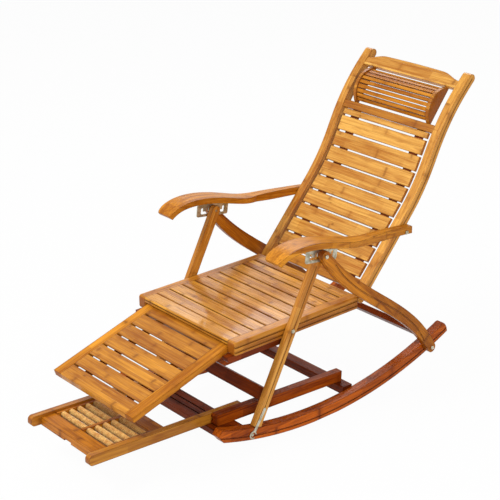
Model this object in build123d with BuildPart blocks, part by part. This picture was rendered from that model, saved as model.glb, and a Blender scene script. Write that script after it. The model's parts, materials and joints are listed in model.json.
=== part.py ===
"""Folding bamboo rocking chair with a sliding leg rest and a roller foot massager.

Millimetres, +Z up, -Y is the front, X is across the chair. The floor is Z = 0 and
the chair is symmetric about X = 0.
"""
import os
from math import asin, atan2, cos, degrees, hypot, pi, radians, sin, sqrt, tan

from build123d import *

os.makedirs("parts", exist_ok=True)

# Middle of the chair's length, taken as the origin
origin_y = -3.9659

# Fits and small gaps
running_gap = 0.05
side_gap = 0.3
slide_gap = 0.4
edge_bevel = 1.5

# Seat frame
seat_width = 470.0
seat_top = 363.0
seat_front = -270.0
seat_rail_width = 32.0
seat_rail_height = 44.0
seat_slat_count = 9
seat_slat_thickness = 15.0
seat_gap = 5.0
front_board_depth = 46.0
runner_height = 22.0
runner_length = 215.0
runner_nose = 20.0
seat_bead = 5.0

# Layers outwards from the seat rails
leg_side_gap = 2.0
front_leg_thickness = 18.0
plate_thickness = 3.0
plate_gap = 0.5
rear_leg_thickness = 20.0

# Rockers
rocker_radius = 1330.0
rocker_low_y = 80.0
rocker_depth = 38.0
rocker_width = 32.0
rocker_front = -352.0
rocker_rear = 640.0
rocker_flat = 100.0
rocker_groove = 4.0
rocker_bevel = 4.0

# Leg pivots in side view
apex_y = 53.0
apex_z = 560.0
rear_foot_y = 537.0
front_foot_y = -202.0
seat_pivot_drop = 20.0
front_leg_width = 32.0
rear_leg_width = 44.0
rear_leg_end_width = 34.0
front_rail_reach = 97.0
rear_rail_reach = 112.0
leg_rail_height = 40.0
leg_rail_thickness = 20.0
bolt_diameter = 8.0
bolt_head = 13.0
bolt_head_height = 3.0

# Hooks
hook_bolt_reach = 58.0
hook_length = 84.0
hook_width = 10.0
hook_thickness = 2.5
hook_ring = 13.0
hook_pin_diameter = 10.0

# Back
stile_depth = 29.0
stile_width = 32.0
back_lower_angle = 48.6
back_middle_angle = 63.5
back_upper_angle = 45.5
back_lower_run = 393.0
back_middle_run = 247.0
back_upper_run = 147.0
back_bend_radius = 680.0
hinge_y = 249.0
hinge_drop = 15.0
hinge_plate_thickness = 3.0
hinge_plate_height = 18.0
hinge_plate_length = 56.0
hinge_plate_tail = 9.0
hinge_plate_drop = 9.5
back_slat_count = 9
back_slat_pitch = 54.8
back_slat_start = 57.0
top_slat_depth = 19.0
back_rail_thickness = 18.0
pillow_rail_depth = 26.0
lower_rail_depth = 38.0
back_slat_gap = 6.0
back_slat_thickness = 10.0
back_slat_clear = 14.0
back_board_set = 1.0
stile_groove = 4.0
batten_width = 28.0
batten_thickness = 12.0
batten_spread = 0.31
crest_height = 46.0
crest_rise = 19.0
crest_drop = 29.0
crest_plateau = 0.60
pillow_length = 340.0
pillow_height = 140.0
pillow_rise = 42.0
pillow_slat_count = 9
pillow_slat_thickness = 6.0
pillow_slat_set = 4.0
pillow_end_thickness = 14.0

# Armrests
arm_pivot_reach = 251.0
arm_width = 70.0
arm_outer = 292.0
arm_thickness = 19.0
arm_rear_width = 24.0
arm_front = -146.0
arm_crest_y = -28.0
arm_crest_z = 622.0
arm_drop_angle = 11.0
arm_tip_drop = 30.0
arm_tip_set = 12.0
arm_crest_set = 2.0
arm_waist_run = 190.0
arm_waist_sink = 8.0
arm_fall_run = 178.0
arm_bar_run = 190.0
arm_wide_run = 130.0
plate_length = 128.0
plate_height = 59.0
plate_top = 38.0
notch_count = 5
notch_pitch = 22.0

# Leg rest
legrest_side_gap = 3.0
legrest_length = 400.0
legrest_thickness = 20.0
legrest_slat_thickness = 12.0
legrest_slope = 17.0
legrest_tuck = 27.0
legrest_rail_width = 36.0
legrest_slat_count = 7
legrest_gap = 5.0
legrest_travel = 340.0
legrest_pin = 8.0
groove_depth = 9.0

# Foot massager and its guides
massage_width = 320.0
massage_rail_width = 20.0
massage_rail_height = 32.0
massage_length = 560.0
massage_nose = 13.0
massage_reach = 440.0
guide_width = 26.0
guide_height = 36.0
guide_front = -305.0
guide_length = 520.0
guide_axis_z = 98.0
guide_slope = 3.0
tongue_height = 10.0
tongue_depth = 7.0
roller_rows = 5
roller_diameter = 20.0
roller_pitch = 29.0
roller_axle = 6.0
roller_flutes = 11
roller_flute_depth = 1.4
strip_width = 13.0
strip_height = 16.0
plank_thickness = 14.0
front_plank_depth = 60.0
front_lip_height = 24.0
front_lip_thickness = 12.0
front_lip_notch = 34.0
rear_plank_depth = 50.0

# Cross pieces of the base
front_board_width = 92.0
front_board_thickness = 18.0
middle_rail_width = 40.0
middle_rail_thickness = 26.0

# Places worked out from the sizes above
seat_half = seat_width / 2
seat_inner = seat_half - seat_rail_width
front_leg_in = seat_half + leg_side_gap
front_leg_out = front_leg_in + front_leg_thickness
rear_leg_in = front_leg_out + plate_thickness + 2 * plate_gap
rear_leg_out = rear_leg_in + rear_leg_thickness
rocker_out = front_leg_out
rocker_in = rocker_out - rocker_width
seat_bottom = seat_top - seat_rail_height


def rocker_height(y, depth=0.0):
    """Height of a line in the rocker, a depth above its lower face."""
    tread_rise = rocker_radius - sqrt(rocker_radius ** 2 - rocker_flat ** 2 / 4)
    return rocker_radius - sqrt((rocker_radius - depth) ** 2 - (y - rocker_low_y) ** 2) - tread_rise


rear_foot_z = rocker_height(rear_foot_y, rocker_depth / 2)
front_foot_z = rocker_height(front_foot_y, rocker_depth) + side_gap
front_leg_angle = degrees(atan2(apex_z - front_foot_z, apex_y - front_foot_y))
front_leg_length = hypot(apex_z - front_foot_z, apex_y - front_foot_y)
seat_pivot_z = seat_top - seat_pivot_drop
seat_pivot_y = apex_y - (apex_z - seat_pivot_z) / tan(radians(front_leg_angle))
hinge_z = seat_top - hinge_drop
seat_rear = hinge_y - stile_depth / 2 - 3.0
arm_pivot_y = hinge_y + arm_pivot_reach * cos(radians(back_lower_angle))
arm_pivot_z = hinge_z + arm_pivot_reach * sin(radians(back_lower_angle))
guide_plane = Plane((0, guide_front, guide_axis_z), (1, 0, 0),
                    (0, sin(radians(guide_slope)), cos(radians(guide_slope))))


def side(x):
    """Side-view plane at x: local x runs to the rear, local y runs up."""
    return Plane((x, 0, 0), (0, 1, 0), (1, 0, 0))


def save(piece, name):
    """Label a piece and write it."""
    placed = Pos(0, -origin_y, 0) * piece.part
    placed.label = name
    export_step(placed, f"parts/{name}.step")


def save_pair(piece, name):
    """Write a right-hand piece and its mirrored left-hand twin."""
    save(piece, f"{name}_right")
    with BuildPart() as twin:
        mirror(piece.part, about=Plane.YZ)
    save(twin, f"{name}_left")


def save_both(piece, name):
    """Write a right-hand piece and its twin as one group."""
    with BuildPart() as both:
        add(piece.part)
        mirror(piece.part, about=Plane.YZ)
    save(both, name)


def along(start_y, start_z, angle, reach):
    """Point at a reach from a start, in side view."""
    return (start_y + reach * cos(radians(angle)), start_z + reach * sin(radians(angle)))


def axis_hole(x, y, z, diameter, length):
    """Bore of a given length along X from x outwards."""
    with BuildSketch(side(x)) as ring:
        with Locations((y, z)):
            Circle(diameter / 2)
    extrude(ring.sketch, amount=length, mode=Mode.SUBTRACT)


def bolt(x, y, z, length, diameter=bolt_diameter, head=bolt_head, thick=bolt_head_height):
    """Bolt along X whose domed head lies outside x + length."""
    with BuildSketch(side(x)) as shank:
        with Locations((y, z)):
            Circle(diameter / 2)
    extrude(shank.sketch, amount=length)
    with BuildSketch(side(x + length)) as cap:
        with Locations((y, z)):
            Circle(head / 2)
    extrude(cap.sketch, amount=thick)


bore = bolt_diameter + 2 * running_gap

# Rockers: an arc band with a flat tread under the middle and a groove along the outer face
front_bottom = rocker_height(rocker_front + rocker_depth * 0.5)
with BuildPart() as rocker:
    with BuildSketch(side(rocker_in)):
        with BuildLine():
            low_front = (rocker_front + rocker_depth * 0.5, front_bottom)
            low_rear = (rocker_rear, rocker_height(rocker_rear))
            top_rear = (rocker_rear - rocker_depth * 0.55,
                        rocker_height(rocker_rear - rocker_depth * 0.55, rocker_depth))
            rear_swell = ((low_rear[0] + top_rear[0]) / 2 + rocker_bevel,
                          (low_rear[1] + top_rear[1]) / 2 + rocker_bevel / 2)
            top_front = (rocker_front + rocker_depth * 0.4,
                         rocker_height(rocker_front + rocker_depth * 0.4, rocker_depth))
            nose = (rocker_front, front_bottom + rocker_depth * 0.66)
            flat_z = rocker_height(rocker_low_y + rocker_flat / 2)
            tread_front = (rocker_low_y - rocker_flat / 2, flat_z)
            tread_rear = (rocker_low_y + rocker_flat / 2, flat_z)
            middle_front = (low_front[0] + tread_front[0]) / 2
            middle_rear = (low_rear[0] + tread_rear[0]) / 2
            ThreePointArc(low_front, (middle_front, rocker_height(middle_front)), tread_front)
            Line(tread_front, tread_rear)
            ThreePointArc(tread_rear, (middle_rear, rocker_height(middle_rear)), low_rear)
            ThreePointArc(low_rear, rear_swell, top_rear)
            ThreePointArc(top_rear, (rocker_low_y, rocker_height(rocker_low_y, rocker_depth)), top_front)
            Line(top_front, nose)
            Line(nose, low_front)
        make_face()
    extrude(amount=rocker_width)
    top_face = rocker.faces().filter_by(GeomType.CYLINDER).sort_by(Axis.Z)[-1]
    chamfer(top_face.edges().filter_by(GeomType.CIRCLE), rocker_bevel)
    with BuildSketch(side(rocker_out)):
        with BuildLine():
            groove_in = rocker_depth * 0.3
            groove_low = [(y, rocker_height(y, groove_in)) for y in
                          (rocker_front - 20, rocker_low_y, rocker_rear + 20)]
            groove_top = [(y, rocker_height(y, groove_in + rocker_groove)) for y in
                          (rocker_rear + 20, rocker_low_y, rocker_front - 20)]
            ThreePointArc(*groove_low)
            Line(groove_low[-1], groove_top[0])
            ThreePointArc(*groove_top)
            Line(groove_top[-1], groove_low[0])
        make_face()
    extrude(amount=-rocker_groove / 2, mode=Mode.SUBTRACT)
    axis_hole(rocker_in, rear_foot_y, rear_foot_z, bore, rocker_width)

# Sliding guides of the foot massager, each with a groove in its inner face
guide_in = massage_width / 2 + slide_gap
with BuildPart() as guide:
    with BuildSketch(guide_plane):
        with Locations((guide_in + guide_width / 2, guide_length / 2)):
            Rectangle(guide_width, guide_length)
    extrude(amount=guide_height / 2, both=True)
    chamfer(guide.edges().filter_by(Axis.X).sort_by(Axis.Y)[:2], 6)
    with BuildSketch(guide_plane):
        with Locations((guide_in + tongue_depth / 2, guide_length / 2)):
            Rectangle(tongue_depth + slide_gap, guide_length + 1)
    extrude(amount=tongue_height / 2 + slide_gap, both=True, mode=Mode.SUBTRACT)
save_pair(guide, "guide")

# Cross boards that carry the guides between the rockers
with BuildPart() as front_board:
    with BuildSketch(guide_plane.offset(-guide_height / 2)):
        with Locations((0, front_board_width / 2 - 20)):
            Rectangle(2 * rocker_in, front_board_width)
    extrude(amount=-front_board_thickness)
    with BuildSketch(guide_plane.offset(-guide_height / 2)):
        with Locations((0, front_board_width * 0.36 - 20), (0, front_board_width * 0.64 - 20)):
            Rectangle(2 * guide_in - 2 * massage_rail_width, 5)
    extrude(amount=-4, mode=Mode.SUBTRACT)
save(front_board, "front_board")

with BuildPart() as middle_rail:
    with BuildSketch(guide_plane.offset(-guide_height / 2)):
        with Locations((0, guide_length - middle_rail_width / 2 + 12)):
            Rectangle(2 * rocker_in, middle_rail_width)
    extrude(amount=-middle_rail_thickness)
    fillet(middle_rail.edges().filter_by(Axis.X).group_by(Axis.Z)[-1], 4)
save(middle_rail, "middle_rail")

# Front legs, standing on the rockers
with BuildPart() as front_leg:
    leg_plane = Plane((front_leg_in, apex_y, apex_z),
                      (0, cos(radians(front_leg_angle)), sin(radians(front_leg_angle))), (1, 0, 0))
    with BuildSketch(leg_plane):
        with Locations((-front_leg_length / 2, 0)):
            Rectangle(front_leg_length, front_leg_width)
        Circle(front_leg_width / 2)
    extrude(amount=front_leg_thickness)
    chamfer(front_leg.faces().sort_by(Axis.X)[-1].edges(), edge_bevel)
    with BuildSketch(leg_plane.offset(front_leg_thickness)):
        with Locations((-front_leg_length / 2, 0)):
            Rectangle(front_leg_length * 0.86, 4)
    extrude(amount=-1.5, mode=Mode.SUBTRACT)
    axis_hole(front_leg_in, seat_pivot_y, seat_pivot_z, bore, front_leg_thickness)
    axis_hole(front_leg_in, apex_y, apex_z, bore, front_leg_thickness)
    hook_y, hook_z = along(apex_y, apex_z, front_leg_angle, hook_bolt_reach - front_leg_length)
    axis_hole(front_leg_in, hook_y, hook_z, bore, front_leg_thickness)
    foot_top = rocker_height(front_foot_y, rocker_depth)
    with BuildSketch(side(front_leg_in)):
        with BuildLine():
            foot_arc = [(y, rocker_height(y, rocker_depth) + side_gap) for y in
                        (front_foot_y - 60, front_foot_y, front_foot_y + 60)]
            ThreePointArc(*foot_arc)
            Polyline(foot_arc[-1], (front_foot_y + 60, foot_top - 90),
                     (front_foot_y - 60, foot_top - 90), foot_arc[0])
        make_face()
    extrude(amount=front_leg_thickness, mode=Mode.SUBTRACT)
save_pair(front_leg, "front_leg")

rail_y, rail_z = along(apex_y, apex_z, front_leg_angle, front_rail_reach - front_leg_length)
with BuildPart() as front_leg_rail:
    with BuildSketch(Plane((0, rail_y, rail_z), (1, 0, 0), (0, cos(radians(front_leg_angle)),
                                                           sin(radians(front_leg_angle))))):
        Rectangle(2 * front_leg_in, leg_rail_thickness)
    extrude(amount=leg_rail_height / 2, both=True)
    fillet(front_leg_rail.edges().filter_by(Axis.X), 3)
save(front_leg_rail, "front_leg_rail")

# Bolts carried by the front legs: seat pivots and the inner half of the apex bolt
with BuildPart() as front_leg_bolts:
    bolt(seat_half - seat_rail_width * 0.6, seat_pivot_y, seat_pivot_z,
         front_leg_out - seat_half + seat_rail_width * 0.6, thick=2.0)
    with BuildSketch(side(front_leg_in)):
        with Locations((apex_y, apex_z)):
            Circle(bolt_diameter / 2)
    extrude(amount=front_leg_thickness)
save_both(front_leg_bolts, "front_leg_bolts")

# Rear legs: sabre-shaped, steep at both ends and flatter in the middle
sweep_y = rear_foot_y - apex_y
sweep_z = apex_z - rear_foot_z


def rear_leg_point(share, sag):
    """Point on the rear leg's centre line, at a share of its length, off its chord by sag."""
    length = hypot(sweep_y, sweep_z)
    return (apex_y + share * sweep_y - sag * sweep_z / length,
            apex_z - share * sweep_z - sag * sweep_y / length)


def rear_leg_edge(share, sag, half):
    """Edge point beside the centre line."""
    length = hypot(sweep_y, sweep_z)
    y, z = rear_leg_point(share, sag)
    return (y + half * sweep_z / length, z + half * sweep_y / length)


leg_shares = [(0.0, 0.0, 0.5), (0.22, 12.0, 0.95), (0.62, -15.0, 1.0), (1.0, 0.0, 0.5)]
with BuildPart() as rear_leg:
    with BuildSketch(side(rear_leg_in)):
        with BuildLine():
            upper = [rear_leg_edge(s, g, max(rear_leg_end_width, rear_leg_width * w) / 2)
                     for s, g, w in leg_shares]
            lower = [rear_leg_edge(s, g, -max(rear_leg_end_width, rear_leg_width * w) / 2)
                     for s, g, w in reversed(leg_shares)]
            foot_tip = rear_leg_point(1 + rear_leg_end_width / 2 / hypot(sweep_y, sweep_z), 0)
            apex_tip = rear_leg_point(-rear_leg_end_width / 2 / hypot(sweep_y, sweep_z), 0)
            Spline(*upper)
            ThreePointArc(upper[-1], foot_tip, lower[0])
            Spline(*lower)
            ThreePointArc(lower[-1], apex_tip, upper[0])
        make_face()
    extrude(amount=rear_leg_thickness)
    with BuildSketch(side(rear_leg_out)):
        with BuildLine() as bead_line:
            Spline(*[rear_leg_point(0.08 + 0.84 * share, sag) for share, sag, _ in leg_shares])
        trace(bead_line.line, rocker_groove)
    extrude(amount=-edge_bevel, mode=Mode.SUBTRACT)
    axis_hole(rear_leg_in, apex_y, apex_z, bore, rear_leg_thickness)
    axis_hole(rear_leg_in, rear_foot_y, rear_foot_z, bore, rear_leg_thickness)
save_pair(rear_leg, "rear_leg")

rear_share = 1 - rear_rail_reach / hypot(sweep_y, sweep_z)
cross_y, cross_z = rear_leg_point(rear_share, -8.0)
rear_leg_slope = degrees(atan2(-sweep_z, sweep_y))
with BuildPart() as rear_leg_rail:
    with BuildSketch(Plane((0, cross_y, cross_z), (1, 0, 0), (0, cos(radians(rear_leg_slope)),
                                                             sin(radians(rear_leg_slope))))):
        Rectangle(2 * rear_leg_in, leg_rail_thickness)
    extrude(amount=leg_rail_height / 2, both=True)
    fillet(rear_leg_rail.edges().filter_by(Axis.X), 3)
save(rear_leg_rail, "rear_leg_rail")

# Bolts carried by the rear legs: foot pivots with spacers and the outer half of the apex bolt
with BuildPart() as rear_leg_bolts:
    bolt(rocker_in, rear_foot_y, rear_foot_z, rear_leg_out - rocker_in)
    with BuildSketch(side(rocker_out + side_gap)):
        with Locations((rear_foot_y, rear_foot_z)):
            Circle(bolt_head / 2)
    extrude(amount=rear_leg_in - rocker_out - side_gap)
    bolt(rear_leg_in, apex_y, apex_z, rear_leg_thickness)
save_both(rear_leg_bolts, "rear_leg_bolts")

# Hooks that hold the front legs to the rockers, and the flush pins they catch
hook_end = along(hook_y, hook_z, 180 + front_leg_angle - 6, hook_length)
with BuildPart() as hook_pin:
    with BuildSketch(side(rocker_out - rocker_width * 0.6)):
        with Locations(hook_end):
            Circle(hook_pin_diameter / 2)
    extrude(amount=rocker_width * 0.6)
hook_plane = Plane((front_leg_out + side_gap, hook_y, hook_z),
                   (0, hook_end[0] - hook_y, hook_end[1] - hook_z), (1, 0, 0))
with BuildPart() as hook:
    with BuildSketch(hook_plane):
        with Locations((hook_length / 2 - hook_ring / 2, 0)):
            Rectangle(hook_length - hook_ring * 0.9, hook_width)
        Circle(hook_width / 2 + 1)
        with Locations((hook_length, 0)):
            Circle(hook_ring)
            Circle(hook_ring - 4.5, mode=Mode.SUBTRACT)
        with Locations((hook_length, hook_ring)):
            Rectangle(hook_ring * 0.9, hook_ring * 1.6, mode=Mode.SUBTRACT)
    extrude(amount=hook_thickness)
    with BuildSketch(hook_plane):
        Circle(bolt_diameter / 2)
    extrude(amount=-front_leg_thickness)
save_pair(hook, "hook")

# The hook's pin is let into the rocker, flush with its face
with BuildPart() as rocker_drilled:
    add(rocker.part)
    with BuildSketch(side(rocker_out - rocker_width * 0.6)):
        with Locations(hook_end):
            Circle(hook_pin_diameter / 2)
    extrude(amount=rocker_width, mode=Mode.SUBTRACT)
save_pair(rocker_drilled, "rocker")
save_both(hook_pin, "hook_pins")

# Seat rails: moulded outer face, rounded nose, groove for the leg rest's pins
groove_z = seat_top - seat_slat_thickness - 2.0 - legrest_thickness / 2
pin_y = seat_front + legrest_tuck
with BuildPart() as seat_rail:
    with BuildSketch(side(seat_inner)):
        with Locations(((seat_front + seat_rear) / 2, (seat_top + seat_bottom) / 2)):
            Rectangle(seat_rear - seat_front, seat_rail_height)
    extrude(amount=seat_rail_width)
    fillet(seat_rail.edges().filter_by(Axis.X).group_by(Axis.Y)[0], 9)
    outer_top = seat_rail.edges().filter_by(Axis.Y).group_by(Axis.Z)[-1].sort_by(Axis.X)[-1:]
    fillet(outer_top, seat_bead)
    with BuildSketch(side(seat_half)):
        with Locations(((seat_front + seat_rear) / 2, seat_top - seat_rail_height * 0.36),
                       ((seat_front + seat_rear) / 2, seat_top - seat_rail_height * 0.72)):
            Rectangle(seat_rear - seat_front + seat_rail_height, seat_bead)
    extrude(amount=-seat_bead / 2, mode=Mode.SUBTRACT)
    with BuildSketch(side(seat_inner)):
        with Locations((pin_y + legrest_travel / 2, groove_z)):
            SlotCenterToCenter(legrest_travel, legrest_pin + 2 * slide_gap)
    extrude(amount=groove_depth, mode=Mode.SUBTRACT)
    axis_hole(seat_half - seat_rail_width * 0.6, seat_pivot_y, seat_pivot_z, bore,
              seat_rail_width)
save_pair(seat_rail, "seat_rail")

# Seat boards between the rails
slat_span = 2 * seat_inner
slat_zone = seat_rear - seat_front - front_board_depth
slat_depth = slat_zone / seat_slat_count - seat_gap
with BuildPart() as seat_front_board:
    with BuildSketch(Plane.XY.offset(seat_top)):
        with Locations((0, seat_front + front_board_depth / 2)):
            Rectangle(slat_span, front_board_depth)
    extrude(amount=-seat_slat_thickness)
    fillet(seat_front_board.edges().filter_by(Axis.X).group_by(Axis.Y)[0].sort_by(Axis.Z)[-1:], 5)
save(seat_front_board, "seat_front_board")

with BuildPart() as seat_slats:
    with BuildSketch(Plane.XY.offset(seat_top)):
        for index in range(seat_slat_count):
            slat_y = seat_front + front_board_depth + seat_gap + index * (slat_depth + seat_gap)
            with Locations((0, slat_y + slat_depth / 2)):
                Rectangle(slat_span, slat_depth)
    extrude(amount=-seat_slat_thickness)
    chamfer(seat_slats.edges().filter_by(Axis.X).group_by(Axis.Z)[-1], edge_bevel)
save(seat_slats, "seat_slats")

# Runner boards under the rails, with rounded front ends
with BuildPart() as seat_runner:
    with BuildSketch(side(seat_inner)):
        with Locations((seat_front - runner_nose + runner_length / 2, seat_bottom - runner_height / 2)):
            Rectangle(runner_length, runner_height)
    extrude(amount=seat_rail_width * 0.7)
    fillet(seat_runner.edges().filter_by(Axis.X).group_by(Axis.Y)[0].sort_by(Axis.Z)[:1], 18)
save_both(seat_runner, "seat_runners")

# Hinge plates on the inner faces of the seat rails
with BuildPart() as hinge_plate:
    with BuildSketch(side(seat_inner - hinge_plate_thickness)):
        with Locations((seat_rear - hinge_plate_length / 2 + hinge_plate_tail, hinge_z - hinge_plate_drop)):
            Rectangle(hinge_plate_length, hinge_plate_height)
        with Locations((hinge_y, hinge_z)):
            Circle(hinge_plate_height / 2)
        with Locations((hinge_y, hinge_z - hinge_plate_drop / 2)):
            Rectangle(hinge_plate_height, hinge_plate_drop)
    extrude(amount=hinge_plate_thickness)
    axis_hole(seat_inner - hinge_plate_thickness, hinge_y, hinge_z, bore, hinge_plate_thickness)
save_both(hinge_plate, "seat_hinge_plates")

with BuildPart() as back_pivot_bolts:
    with BuildSketch(side(seat_inner - hinge_plate_thickness - 3)):
        with Locations((hinge_y, hinge_z)):
            Circle(bolt_head / 2)
    extrude(amount=3 - side_gap)
    with BuildSketch(side(seat_inner - hinge_plate_thickness - side_gap)):
        with Locations((hinge_y, hinge_z)):
            Circle(bolt_diameter / 2)
    extrude(amount=stile_width + hinge_plate_thickness + side_gap - 6)
save_both(back_pivot_bolts, "back_pivot_bolts")

# Back stiles: three runs joined by wide bends
corner_low = along(hinge_y, hinge_z, back_lower_angle, back_lower_run)
corner_high = along(*corner_low, back_middle_angle, back_middle_run)
stile_top = along(*corner_high, back_upper_angle, back_upper_run)
with BuildPart() as stile:
    with BuildSketch(side(seat_inner)):
        with BuildLine() as stile_line:
            FilletPolyline((hinge_y, hinge_z), corner_low, corner_high, stile_top,
                           radius=back_bend_radius)
        trace(stile_line.line, stile_depth)
        with Locations((hinge_y, hinge_z), stile_top):
            Circle(stile_depth / 2)
    extrude(amount=stile_width)
    axis_hole(seat_inner, hinge_y, hinge_z, bore, stile_width - 5)
    axis_hole(seat_inner + 6, arm_pivot_y, arm_pivot_z, bore, stile_width)
    chamfer(stile.faces().sort_by(Axis.X)[-1].edges(), edge_bevel)
    with BuildSketch(side(seat_half)):
        trace(stile_line.line, stile_groove)
    extrude(amount=-edge_bevel, mode=Mode.SUBTRACT)
save_pair(stile, "stile")
back_line = stile_line.wires()[0]
back_length = back_line.length


def back_plane(reach, height=0.0):
    """Plane across the back at a reach up its line: x across, y up the back, z to the front."""
    point = back_line.position_at(reach / back_length)
    tangent = back_line.tangent_at(reach / back_length)
    up = (0, tangent.X, tangent.Y) if abs(tangent.Z) < 1e-6 else (0, tangent.Y, tangent.Z)
    here = (0, point.X, point.Y) if abs(point.Z) < 1e-6 else (0, point.Y, point.Z)
    normal = (0, -up[2], up[1])
    return Plane(here, (1, 0, 0), normal).offset(height)


def back_board(reach, width, depth, thickness, height):
    """Board across the back, its bevelled front face a height in front of the back's line."""
    face = back_plane(reach, height)
    half = depth / 2
    with BuildSketch(Plane(face.origin - face.x_dir * width / 2, face.y_dir, face.x_dir)) as board:
        Polygon((-half, -thickness), (half, -thickness), (half, -edge_bevel), (half - edge_bevel, 0),
                (edge_bevel - half, 0), (-half, -edge_bevel), align=None)
    extrude(board.sketch, amount=width)


# Slats of the back with a narrow one at the top, two rails, and the battens that carry the slats
board_front = stile_depth / 2 - back_board_set
slat_length = 2 * (seat_inner - back_slat_clear)
slat_width = back_slat_pitch - back_slat_gap
slat_places = [(back_slat_start + (index + 0.5) * back_slat_pitch, slat_width)
               for index in range(back_slat_count)]
slats_end = back_slat_start + back_slat_count * back_slat_pitch + back_slat_gap / 2
slat_places.append((slats_end + top_slat_depth / 2, top_slat_depth))
with BuildPart() as back_slats:
    for reach, width in slat_places:
        back_board(reach, slat_length, width, back_slat_thickness, board_front)
save(back_slats, "back_slats")

lower_rail_reach = back_slat_start - back_slat_gap / 2 - lower_rail_depth / 2
with BuildPart() as lower_rail:
    back_board(lower_rail_reach, 2 * seat_inner, lower_rail_depth, back_rail_thickness, board_front)
save(lower_rail, "lower_rail")
pillow_rail_reach = slats_end + top_slat_depth + 2 + pillow_rail_depth / 2
with BuildPart() as pillow_rail:
    back_board(pillow_rail_reach, 2 * seat_inner, pillow_rail_depth, back_rail_thickness, board_front)
save(pillow_rail, "pillow_rail")

batten_front = board_front - back_slat_thickness
batten_rear = batten_front - batten_thickness


def back_edge(reach, height, shift):
    """Side-view point on a board at a reach, moved along the board by a shift."""
    plane = back_plane(reach, height)
    corner = plane.origin + plane.y_dir * shift
    return (corner.Y, corner.Z)


batten_face = [back_edge(lower_rail_reach, batten_front, lower_rail_depth / 2)]
for reach, width in slat_places:
    batten_face.append(back_edge(reach, batten_front, -width / 2))
    batten_face.append(back_edge(reach, batten_front, width / 2))
batten_face.append(back_edge(pillow_rail_reach, batten_front, -pillow_rail_depth / 2))
batten_back = [back_edge(lower_rail_reach, batten_rear, lower_rail_depth / 2)]
for reach, width in slat_places[:-1]:
    batten_back.append(back_edge(reach, batten_rear, 0))
batten_back.append(back_edge(pillow_rail_reach, batten_rear, -pillow_rail_depth / 2))
with BuildPart() as back_battens:
    for place in (-batten_spread, batten_spread):
        with BuildSketch(side(place * seat_width - batten_width / 2)):
            with BuildLine():
                Polyline(*batten_face)
                Line(batten_face[-1], batten_back[-1])
                Spline(*reversed(batten_back))
                Line(batten_back[0], batten_face[0])
            make_face()
        extrude(amount=batten_width)
save(back_battens, "back_battens")

# Crest rail with a raised middle
crest_reach = back_length - crest_drop
with BuildPart() as crest_rail:
    with BuildSketch(back_plane(crest_reach, board_front)):
        with BuildLine():
            low = -crest_height / 2
            high = crest_height / 2
            Line((-seat_inner, low), (seat_inner, low))
            Line((seat_inner, low), (seat_inner, high - crest_rise))
            shoulder = seat_inner * crest_plateau
            crest_end = high - crest_rise
            Spline((seat_inner, crest_end), (shoulder, high), tangents=[(-1, 0.1), (-1, 0)])
            ThreePointArc((shoulder, high), (0, high + edge_bevel), (-shoulder, high))
            Spline((-shoulder, high), (-seat_inner, crest_end), tangents=[(-1, 0), (-1, -0.1)])
            Line((-seat_inner, crest_end), (-seat_inner, low))
        make_face()
    extrude(amount=-back_rail_thickness)
save(crest_rail, "crest_rail")

# Pillow: two arched end plates between the rails, and thin slats laid round them
pillow_set = 12.0
foot_depth = back_rail_thickness - pillow_set
low_rail = back_plane(pillow_rail_reach, board_front - pillow_set)
high_rail = back_plane(crest_reach, board_front - pillow_set)
low_point = low_rail.origin + low_rail.y_dir * pillow_rail_depth / 2
high_point = high_rail.origin - high_rail.y_dir * crest_height / 2
chord_dir = (high_point - low_point).normalized()
pillow_chord = (high_point - low_point).length
pillow_plane = Plane((low_point + high_point) / 2, (1, 0, 0), Vector(1, 0, 0).cross(chord_dir))
pillow_radius = (pillow_chord ** 2 / 4 + pillow_rise ** 2) / (2 * pillow_rise)
arch_half = degrees(asin(pillow_chord / 2 / pillow_radius))
low_lean = foot_depth * tan(radians(low_rail.y_dir.get_angle(chord_dir)))
high_lean = foot_depth * tan(radians(high_rail.y_dir.get_angle(chord_dir)))


def pillow_side(x):
    """Side plane of the pillow: local x up the back, local y to the front."""
    return Plane(pillow_plane.origin + pillow_plane.x_dir * x, pillow_plane.y_dir,
                 pillow_plane.x_dir)


with BuildPart() as pillow_end:
    with BuildSketch(pillow_side(pillow_length / 2 - pillow_end_thickness)):
        with BuildLine():
            half = pillow_chord / 2 - running_gap
            ThreePointArc((-half, 0), (0, pillow_rise), (half, 0))
            Polyline((half, 0), (half - high_lean, -foot_depth), (low_lean - half, -foot_depth),
                     (-half, 0))
        make_face()
    extrude(amount=pillow_end_thickness)
    chamfer(pillow_end.faces().sort_by(Axis.X)[-1].edges(), edge_bevel)
save_both(pillow_end, "pillow_ends")

slat_step = 2 * (arch_half - 5) / pillow_slat_count
with BuildPart() as pillow_slats:
    for index in range(pillow_slat_count):
        angle = (index - (pillow_slat_count - 1) / 2) * slat_step
        with BuildSketch(pillow_side(-pillow_length / 2 + pillow_end_thickness)):
            with Locations((0, pillow_rise - pillow_radius)):
                with PolarLocations(pillow_radius - pillow_slat_thickness / 2 - pillow_slat_set, 1, 90 - angle):
                    Rectangle(pillow_slat_thickness, radians(slat_step) * pillow_radius * 0.72)
        extrude(amount=pillow_length - 2 * pillow_end_thickness)
save(pillow_slats, "pillow_slats")

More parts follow.
